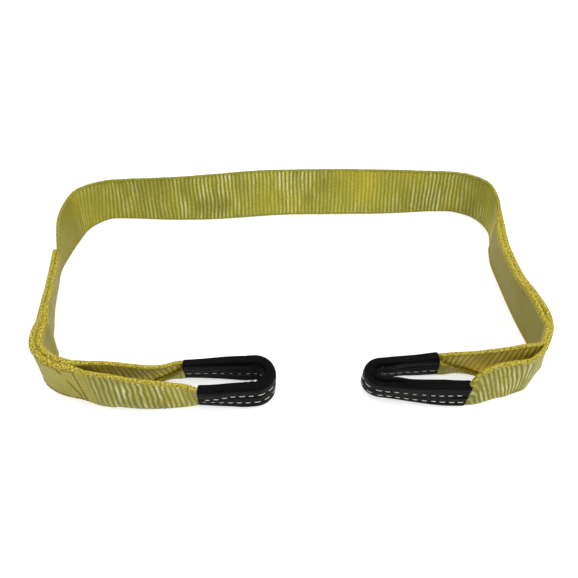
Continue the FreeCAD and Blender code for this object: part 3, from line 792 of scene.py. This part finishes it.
# ---------------------------------------------------------------- wear sleeves
def sleeve_material():
    m, nt, bsdf = new_mat("sleeve_cloth")
    grain = tex_noise(nt, scaled_uv(nt, 14, 14), 1.0, 3.0, 0.6)
    long = tex_noise(nt, scaled_uv(nt, 0.35, 5.0), 1.0, 3.0, 0.55)
    scuff = tex_noise(nt, scaled_uv(nt, 1.2, 2.2), 1.0, 5.0, 0.65)
    # painted highlight: the base grey is lighter along the lengthwise wrinkles that the bump raises from the same
    # noise
    base = ramp(nt, long, [(0.3, (0.0010, 0.0010, 0.0012, 1)), (0.55, (0.0018, 0.0018, 0.002, 1)), (0.75, (0.0045, 0.0045, 0.005, 1))])
    base = mixc(nt, math_(nt, "MULTIPLY", ramp_val(nt, scuff, 0.55, 0.75), 0.35), base, (0.009, 0.009, 0.0095, 1))
    nt.links.new(base, bsdf.inputs["Base Color"])
    nt.links.new(math_(nt, "ADD", 0.36, math_(nt, "MULTIPLY", scuff, 0.35)), bsdf.inputs["Roughness"])
    bsdf.inputs["Specular IOR Level"].default_value = 0.045
    bsdf.inputs["Sheen Weight"].default_value = 0.0
    wx = node(nt, "ShaderNodeTexWave", wave_type="BANDS", bands_direction="X")
    wx.inputs["Scale"].default_value = 1.0
    nt.links.new(scaled_uv(nt, 5.5, 0.0), wx.inputs["Vector"])
    wy = node(nt, "ShaderNodeTexWave", wave_type="BANDS", bands_direction="Y")
    wy.inputs["Scale"].default_value = 1.0
    nt.links.new(scaled_uv(nt, 0.0, 5.5), wy.inputs["Vector"])
    h = math_(nt, "ADD", math_(nt, "MULTIPLY", math_(nt, "ADD", wx.outputs["Fac"], wy.outputs["Fac"]), 0.25),
              math_(nt, "MULTIPLY", grain, 0.5))
    h = math_(nt, "ADD", h, math_(nt, "MULTIPLY", long, 1.6))
    bump = node(nt, "ShaderNodeBump")
    bump.inputs["Strength"].default_value = 0.5
    bump.inputs["Distance"].default_value = 0.0004
    nt.links.new(h, bump.inputs["Height"])
    nt.links.new(bump.outputs[0], bsdf.inputs["Normal"])
    return m


def thread_material(name, a, b, rough=0.55):
    m, nt, bsdf = new_mat(name)
    n1 = tex_noise(nt, scaled_uv(nt, 3.0, 3.0), 1.0, 2.0)
    base = mixc(nt, n1, a, b)
    nt.links.new(base, bsdf.inputs["Base Color"])
    nt.links.new(math_(nt, "ADD", rough - 0.1, math_(nt, "MULTIPLY", n1, 0.2)), bsdf.inputs["Roughness"])
    tw = node(nt, "ShaderNodeTexWave", wave_type="BANDS", bands_direction="DIAGONAL")
    tw.inputs["Scale"].default_value = 6.0
    nt.links.new(scaled_uv(nt, 1.0, 1.0), tw.inputs["Vector"])
    bump = node(nt, "ShaderNodeBump")
    bump.inputs["Strength"].default_value = 0.5
    bump.inputs["Distance"].default_value = 0.0002
    nt.links.new(tw.outputs["Fac"], bump.inputs["Height"])
    nt.links.new(bump.outputs[0], bsdf.inputs["Normal"])
    return m


SLEEVE = sleeve_material()
WHITE = thread_material("sleeve_lock_stitch", lin(226, 222, 210), lin(176, 172, 160))
GOLD = thread_material("web_lock_stitch", lin(216, 194, 70), lin(164, 138, 36))
BROWN = thread_material("web_seam_thread", lin(128, 88, 28), lin(92, 60, 20))

ST = 4.45        # half thickness of the sleeved eye
SH = 14.1        # half height


def sleeve_path(keys, tip, turn, extra, tipr):
    """Middle line from the mouth along keys to the tip circle, then round it by 90+extra degrees.
    turn +1: the tip centre lies to the left of travel."""
    tip = np.array(tip, float)
    k = np.array(keys, float)
    head = unit(k[-1] - k[-2])
    left = np.array([-head[1], head[0]])
    tangent = tip - left * turn * tipr
    k = np.vstack([k[:-1], tangent - head * 12.0, tangent])
    t = np.concatenate([[0], np.cumsum(np.linalg.norm(np.diff(k, axis=0), axis=1))])
    q = np.linspace(0, t[-1], 400)
    line = hermite(k, t, q)
    a0 = math.atan2(*(tangent - tip)[::-1])
    ang = math.radians(90 + extra)
    m = np.linspace(0, 1, 200)[1:]
    arc = tip + tipr * np.stack([np.cos(a0 + turn * ang * m), np.sin(a0 + turn * ang * m)], 1)
    pts = np.vstack([line, arc])
    s = np.concatenate([[0], np.cumsum(np.linalg.norm(np.diff(pts, axis=0), axis=1))])
    return pts, s, s[len(line) - 1]


def ring_shape(n=64):
    """Rounded upright section: points (side, up) at half sizes ST and SH, from the outer face foot upwards."""
    a = np.linspace(0, 2 * math.pi, n, endpoint=False) + math.pi
    c, s_ = np.cos(a), np.sin(a)
    x = np.sign(c) * np.abs(c) ** 0.62 * ST
    z = np.sign(s_) * np.abs(s_) ** 0.34 * SH
    # close the outline by repeating the first point
    X = np.append(x, x[0])
    Z = np.append(z, z[0])
    return X, Z


def section(n):
    th = np.linspace(0, 2 * math.pi, 2001)
    c, s_ = np.cos(th), np.sin(th)
    x = np.sign(c) * np.abs(c) ** 0.50 * ST
    z = np.sign(s_) * np.abs(s_) ** 0.25 * SH
    d = np.concatenate([[0], np.cumsum(np.hypot(np.diff(x), np.diff(z)))])
    q = np.linspace(0, d[-1], n, endpoint=False)
    return np.interp(q, d, x), np.interp(q, d, z), q


def sleeve(name, joint, keys, tip, turn, lean0, lean1, seed, inner, mouth_tilt=0.0):
    """One half of a sleeve. Travel runs from the mouth to the tip. lean in degrees, towards -Y at the top."""
    tipr = TIPR["right" if "right" in name else "left"]
    pts, s, s_tan = sleeve_path(keys, tip, turn, 9.0, tipr)
    n = int(s[-1] / (0.9))
    S = np.linspace(0, s[-1], n + 1)
    C = np.stack([np.interp(S, s, pts[:, 0]), np.interp(S, s, pts[:, 1])], 1)
    T = unit(np.gradient(C, axis=0))
    L = np.stack([-T[:, 1], T[:, 0]], 1)          # left of travel
    lean = np.radians(lean0 + (lean1 - lean0) * smooth(S / s_tan))
    x, z, q = section(96)
    X = np.broadcast_to(x, (n + 1, len(x))).copy()
    Z = np.broadcast_to(z, (n + 1, len(x))).copy()
    nx = unit(np.stack([np.gradient(z), -np.gradient(x)], 1))
    sgn = np.sign((nx * np.stack([x, z], 1)).sum(1).mean())
    nx = nx * sgn
    SS, QQ = np.meshgrid(S, q, indexing="ij")
    # lengthwise wrinkles, deeper on the inside of the turn, and pressed-in seams at the stitch rows
    r = 0.34 * noise(SS / 40, QQ / 4.2, seed) + 0.20 * noise(SS / 22, QQ / 2.1, seed + 1)
    inside = (x[None, :] * turn > 1.0)
    round_ = smooth((SS - s_tan + 10) / 12)
    r = r + inside * round_ * (0.42 * np.cos(2 * math.pi * SS / 6.3 + 2.0 * noise(SS / 9, QQ / 9, seed + 2)) - 0.25)

    def grow(ss, z_, eye):
        if eye:
            fat = 1.1 * smooth((ss - 3.0) / 20) if name == "sleeve_right_outer" else 0.0
            return fat + smooth((ss - s_tan + 24) / 14) * (1.2 if "right" in name else 0.1)
        return smooth((ss - s_tan + 10) / 12) * (0.2 if "right" in name else 0.5 + 0.55 * z_ / SH)

    r = r + inside * grow(SS, z[None, :], True) + (x[None, :] * turn < -1.0) * grow(SS, z[None, :], False)
    r = r - 0.28 * smooth(1 - np.abs(np.abs(x[None, :]) - ST) / 0.8) * sum(np.exp(-((z[None, :] + SH - zr) / 1.1) ** 2) for zr in ROWS)
    tail = smooth((SS - (s[-1] - math.radians(18) * tipr)) / (math.radians(18) * tipr))
    r = r - (0.28 if inner else 0.0) * round_ - 0.55 * tail
    lipr = 1 - smooth(SS / 1.6)
    r = r - 0.35 * lipr
    X = X + nx[:, 0] * r
    Z = Z + nx[:, 1] * r
    tilt = mouth_tilt * (1 - smooth(SS / 16.0))

    def put(X, Z, k=None):
        # k: station numbers of the rows (default all)
        k = np.arange(n + 1) if k is None else k
        P = np.zeros(X.shape + (3,))
        P[..., 0] = C[k, 0][:, None] + L[k, 0][:, None] * X + T[k, 0][:, None] * (Z * tilt[k][:, :1])
        P[..., 1] = C[k, 1][:, None] + L[k, 1][:, None] * X + T[k, 1][:, None] * (Z * tilt[k][:, :1]) - Z * np.tan(lean[k])[:, None]
        P[..., 2] = SH + 0.15 + Z
        return P

    taper = smooth((SS - s_tan + 18) / 34) * (1.0 if "right" in name else 0.25)
    Z = Z - taper * np.where(Z > 0, 2.2 * Z / SH, 0.7 * Z / SH)
    outer = put(X, Z)
    # inside skin at the mouth, from the lip inwards, then a closing wall
    deep = [0.0, 1.0, 3.0, 6.0, 10.0]
    wall = 0.55
    rows = []
    for d_ in deep:
        k = int(round(d_ / S[-1] * n))
        rows.append(put((x - nx[:, 0] * wall)[None, :], (z - nx[:, 1] * wall)[None, :], np.array([k]))[0])
    grid = np.concatenate([np.array(rows[::-1]), outer], 0)
    m = grid.shape[1]
    r_ = grid.shape[0]
    idx = np.arange(r_ * m).reshape(r_, m)
    a, b = idx[:-1], idx[1:]
    faces = np.stack([a, np.roll(a, -1, 1), np.roll(b, -1, 1), b], -1).reshape(-1, 4)
    faces = faces.tolist() + [idx[0].tolist()[::-1], idx[-1].tolist()]
    flat = grid.reshape(-1, 3)
    mid_row = len(rows) + n // 3
    f = faces[mid_row * m + m // 4]
    nrm = np.cross(flat[f[1]] - flat[f[0]], flat[f[2]] - flat[f[0]])
    if nrm @ (flat[f[0]] - np.append(C[n // 3], SH)) < 0:
        faces = [g[::-1] for g in faces]
    uu = np.concatenate([-np.array(deep[::-1]), S])
    uv = np.stack([np.repeat(uu, m), np.tile(q, r_)], 1) * MM * 10 * 10
    ob = mesh_from(name, flat, faces, uv=uv, sharp_angle=70)
    ob.data.materials.append(SLEEVE)
    j = joint
    a_, b_ = joint_bodies[j]
    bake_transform(ob)
    pieces.append((ob, dict(a=a_, b=b_)))
    sleeve_of[b_] = ob

    # lock stitch: a thread arching out of one hole and into the next
    sv, sf = [], []
    rr = 0.36

    def stitch(s0, length, xf, zr, rad=rr):
        """xf: +1 the face to the left of travel."""
        m_ = 9
        u = np.linspace(0, 1, m_)
        ss = s0 + u * length
        lift = np.sin(u * math.pi) ** 0.5 * 0.38 - 0.22
        c = np.stack([np.interp(ss, S, C[:, 0]), np.interp(ss, S, C[:, 1])], 1)
        l = unit(np.stack([np.interp(ss, S, L[:, 0]), np.interp(ss, S, L[:, 1])], 1))
        t_ = unit(np.stack([np.interp(ss, S, T[:, 0]), np.interp(ss, S, T[:, 1])], 1))
        ln = np.interp(ss, S, lean)
        z_ = zr - SH
        side_x = ST - 0.15 + lift + grow(ss, zr - SH, xf * turn > 0) - (0.28 if inner else 0.0) * smooth((ss - s_tan + 10) / 12)
        base = np.zeros((m_, 3))
        base[:, :2] = c + l * (xf * side_x)[:, None]
        base[:, 1] -= z_ * np.tan(ln)
        base[:, 2] = SH + 0.15 + z_
        o = np.zeros((m_, 3))
        o[:, :2] = l * xf
        up = np.array([0, 0, 1.0])
        k0 = len(sv) * 1
        for i in range(m_):
            wdt = rad * (0.55 + 0.45 * math.sin(math.pi * u[i]) ** 0.5)
            for a in range(8):
                an = a * math.pi / 4
                sv.append(base[i] + (o[i] * math.cos(an) * 0.8 + up * math.sin(an)) * wdt)
        for i in range(m_ - 1):
            for a in range(8):
                p0, p1 = k0 + i * 8 + a, k0 + i * 8 + (a + 1) % 8
                sf.append([p0, p1, p1 + 8, p0 + 8])
        sf.append([k0 + a for a in range(7, -1, -1)])
        sf.append([k0 + (m_ - 1) * 8 + a for a in range(8)])

    rng = np.random.default_rng(seed)
    for face, rows_, rad in STITCH[name]:
        for ri, zr in enumerate(rows_):
            s0 = 2.6 + 3.0 * ri
            while s0 < s[-1] - 5.5:
                ln_ = 4.4 + rng.uniform(-0.4, 0.4)
                zz = zr + rng.uniform(-0.25, 0.25)
                if callable(row_shift):
                    zz += row_shift(name, ri, s0, s[-1])
                stitch(s0, ln_, face * -turn, zz, rad)
                s0 += 7.0 + rng.uniform(-0.25, 0.25)
    sv = np.array(sv)
    if (np.cross(sv[sf[0][1]] - sv[sf[0][0]], sv[sf[0][2]] - sv[sf[0][0]]) @ (sv[sf[0][0]] - sv[:8].mean(0))) < 0:
        sf = [g[::-1] for g in sf]
    so = mesh_from(name + "_lock_stitch", sv, sf, uv=sv[:, :2] * 0.1)
    so.data.materials.append(WHITE)
    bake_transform(so)
    stitch_of[b_] = so
    return ob


ROWS = (8.2, 18.0)
# face +1: away from the tip centre (outside of the loop); -1: towards the eye
STITCH = {"sleeve_right_outer": ((1, (7.4, 17.0), 0.38), (-1, (7.4, 17.0), 0.34)),
          "sleeve_right_inner": ((1, (7.4, 17.0), 0.38), (-1, (9.0,), 0.27)),
          "sleeve_left_outer": ((1, (8.8, 18.6), 0.38), (-1, (8.8, 18.6), 0.34)),
          "sleeve_left_inner": ((1, (8.8, 18.6), 0.38), (-1, (12.0,), 0.27))}


def row_shift(name, ri, s0, total):
    # the rows draw together at the left outer mouth
    if name == "sleeve_left_outer":
        near = 1 - smooth(s0 / 30.0)
        return near * (-5.6 if ri else 1.0)
    return 0.0


sleeve_of, stitch_of = {}, {}
for nm, joint, seed, inner, tilt in (
        ("sleeve_right_outer", "eye_open_right_outer_half", 101, False, -0.05),
        ("sleeve_right_inner", "eye_open_right_inner_half", 102, True, 0.18),
        ("sleeve_left_outer", "eye_open_left_outer_half", 103, False, 0.08),
        ("sleeve_left_inner", "eye_open_left_inner_half", 104, True, 0.15)):
    path, tip, turn, l0, l1 = SLEEVES[nm]
    sleeve(nm, joint, path, tip, turn, l0, l1, seed, inner, tilt)


# ---------------------------------------------------------------- threads through the web
thread_of = {}


def grid_at(run, s, v):
    n = len(run.s) - 1
    fi = np.clip(np.asarray(s, float) / run.length * n, 0, n - 1e-6)
    fj = np.interp(v, run.v, np.arange(len(run.v)))
    fj = np.clip(fj, 0, len(run.v) - 1 - 1e-6)
    i, j = fi.astype(int), fj.astype(int)
    a, b = (fi - i)[:, None], (fj - j)[:, None]

    def get(G):
        return (G[i, j] * (1 - a) + G[i + 1, j] * a) * (1 - b) + (G[i, j + 1] * (1 - a) + G[i + 1, j + 1] * a) * b
    return get(run.P), unit(get(run.N)), i


def threads(name, run, p, segs, mat):
    """segs: (s, v, s, v, face, radius) stitches; each is a strand arching over the cloth."""
    sv, sf = [], []
    for s_a, v_a, s_b, v_b, face, rad in segs:
        if not (p["s0"] + 0.3 < min(s_a, s_b) and max(s_a, s_b) < p["s1"] - 0.3):
            continue
        m_ = 7
        uu = np.linspace(0, 1, m_)
        ss, vv = s_a + (s_b - s_a) * uu, v_a + (v_b - v_a) * uu
        P, N, i = grid_at(run, ss, vv)
        th = run.thin(ss) if hasattr(run, "thin") else np.ones(m_)
        N = N * face
        lift = -0.30 + 0.55 * np.sin(uu * math.pi) ** 0.5
        base = P + N * (PLY / 2 * th * run.press[i] + 0.12 + lift)[:, None]
        d = unit(np.gradient(base, axis=0))
        bi = unit(np.cross(N, d))
        k0 = len(sv)
        for q in range(m_):
            w_ = rad * (0.6 + 0.4 * math.sin(math.pi * uu[q]) ** 0.5)
            for a in range(6):
                an = a * math.pi / 3
                sv.append(base[q] + (N[q] * math.cos(an) * 0.75 + bi[q] * math.sin(an)) * w_)
        for q in range(m_ - 1):
            for a in range(6):
                p0, p1 = k0 + q * 6 + a, k0 + q * 6 + (a + 1) % 6
                sf.append([p0, p1, p1 + 6, p0 + 6])
        sf.append([k0 + a for a in range(5, -1, -1)])
        sf.append([k0 + (m_ - 1) * 6 + a for a in range(6)])
    if not sv:
        return None
    sv = np.array(sv)
    sv[:, 2] = np.maximum(sv[:, 2], 0.05)
    c0 = sv[:6].mean(0)
    f0 = sf[0]
    if np.cross(sv[f0[1]] - sv[f0[0]], sv[f0[2]] - sv[f0[0]]) @ (sv[f0[0]] - c0) < 0:
        sf = [g[::-1] for g in sf]
    so = mesh_from(name, sv, sf, uv=sv[:, :2] * 0.1)
    so.data.materials.append(mat)
    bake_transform(so)
    return so


def row(s0, s1, v, face, rad, pitch, length, rng, zig=0.0):
    out, s = [], s0
    k = 0
    while s + length < s1:
        z0, z1 = (zig, -zig) if k % 2 else (-zig, zig)
        e = rng.uniform(-0.25, 0.25)
        out.append((s, v + z0 + e, s + length, v + z1 + e, face, rad))
        s += pitch
        k += 1
    return out


def line(s0, v0, s1, v1, face, rad, n, rng, cross=1.3):
    out = []
    for k in range(n):
        t0, t1 = k / n, (k + 0.82) / n
        c = cross * (1 if k % 2 else -1)
        out.append((s0 + (s1 - s0) * t0 - c, v0 + (v1 - v0) * t0, s0 + (s1 - s0) * t1 + c, v0 + (v1 - v0) * t1, face, rad))
    return out


g_ = np.random.default_rng(7)
R_END, L_ST = lap_r.length, 0.0
right_segs = (row(R_LEG + 14, R_END - 5, 47.6, -1, 0.34, 3.1, 2.6, g_, 0.75)
              + row(R_LEG + 14, R_END - 5, 2.4, -1, 0.34, 3.1, 2.6, g_, 0.75)
              + line(R_LEG + 12, 3.0, R_LEG + 13.5, 47.0, -1, 0.36, 15, g_)
              + line(R_LEG + 17, 3.0, R_LEG + 18.5, 47.0, -1, 0.36, 15, g_)
              + line(R_END - 5, 3.0, R_END - 2.5, 47.0, -1, 0.36, 15, g_, 0.9))
S_X = lap_l.station((-174.0, -132.0))
left_segs = (row(3.0, L_LEG - 4, 47.4, 1, 0.34, 3.1, 2.6, g_, 0.8)
             + row(3.0, L_LEG - 4, 2.6, 1, 0.34, 3.1, 2.6, g_, 0.8)
             + line(3.2, 3.0, 5.0, 47.0, 1, 0.36, 15, g_, 0.9)
             + line(S_X, 48.0, S_X + 11, 6.0, 1, 0.36, 15, g_, 1.1)
             + line(L_LEG - 5.5, 46.5, L_LEG - 4.5, 4.0, 1, 0.32, 15, g_, 1.1))
for nm, run, pl, segs, mat in (("right", lap_r, lap_r_plan, right_segs, GOLD), ("left", lap_l, lap_l_plan, left_segs, BROWN)):
    for i, p in enumerate(pl):
        ob = threads("thread_%s_%02d" % (nm, i), run, p, segs, mat)
        if ob is None:
            continue
        for bd in (p["a"], p["b"]):
            thread_of.setdefault(bd, ob)
        print(ob.name, p["a"], p["b"], len(ob.data.vertices))

# ---------------------------------------------------------------- what stands for what
body_nodes = frame["record"]["behaviour"]["bodies"]
owner = {}
for ob, p in pieces[:n_web]:
    for bd in (p["b"], p["a"]):
        owner.setdefault((bd, "web"), ob)
for body, names in body_nodes.items():
    for n in names:
        ob = owner[(body, "web")]
        if n.startswith("sleeve_stitches"):
            ob = stitch_of[body]
        elif n.startswith("sleeve_"):
            ob = sleeve_of[body]
        elif ("stitching" in n or "bar_tack" in n) and body in thread_of:
            ob = thread_of[body]
        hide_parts(n)

# ---------------------------------------------------------------- stage
def stage_all():
    sc = bpy.context.scene
    bpy.ops.mesh.primitive_plane_add(size=6.0, location=(0, 0.6, -0.0006))
    floor = bpy.context.object
    floor.name = "floor"
    m, nt, bsdf = new_mat("floor_paper")
    bsdf.inputs["Base Color"].default_value = (0.56, 0.56, 0.56, 1)
    bsdf.inputs["Roughness"].default_value = 0.9
    bsdf.inputs["Specular IOR Level"].default_value = 0.1
    bsdf.inputs["Emission Color"].default_value = (1, 1, 1, 1)
    bsdf.inputs["Emission Strength"].default_value = 0.60
    floor.data.materials.append(m)
    w = bpy.data.worlds.new("studio")
    sc.world = w
    w.use_nodes = True
    bg = w.node_tree.nodes["Background"]
    bg.inputs[0].default_value = (1, 1, 1, 1)
    bg.inputs[1].default_value = 0.80

    def area(name, loc, aim, size, power, size_y=None):
        l = bpy.data.lights.new(name, "AREA")
        l.energy = power
        l.size = size
        if size_y:
            l.shape = "RECTANGLE"
            l.size_y = size_y
        o = bpy.data.objects.new(name, l)
        sc.collection.objects.link(o)
        o.location = loc
        d = np.array(aim, float) - np.array(loc, float)
        from mathutils import Vector
        o.rotation_euler = Vector(d).to_track_quat("-Z", "Y").to_euler()
        return o

    area("key", (1.0, -0.45, 1.35), (0, 0, 0), 0.9, 13)
    area("top", (-0.2, 0.25, 1.6), (0, 0, 0), 1.2, 13)
    sc.view_settings.view_transform = "Standard"
    sc.view_settings.look = "None"
    sc.view_settings.exposure = 0.0
    cam = bpy.data.cameras.new("view")
    co = bpy.data.objects.new("view", cam)
    sc.collection.objects.link(co)
    e, D, f = math.radians(44.0899588), 0.5592275, 561.0816841
    cam.sensor_width = 36
    cam.lens = f / 578 * 36
    cam.clip_start = 0.01
    co.location = (5.35 * MM, -D * math.cos(e) + 3.38 * MM, D * math.sin(e))
    co.rotation_euler = (math.radians(90) - e, 0, 0)
    sc.camera = co


stage_all()
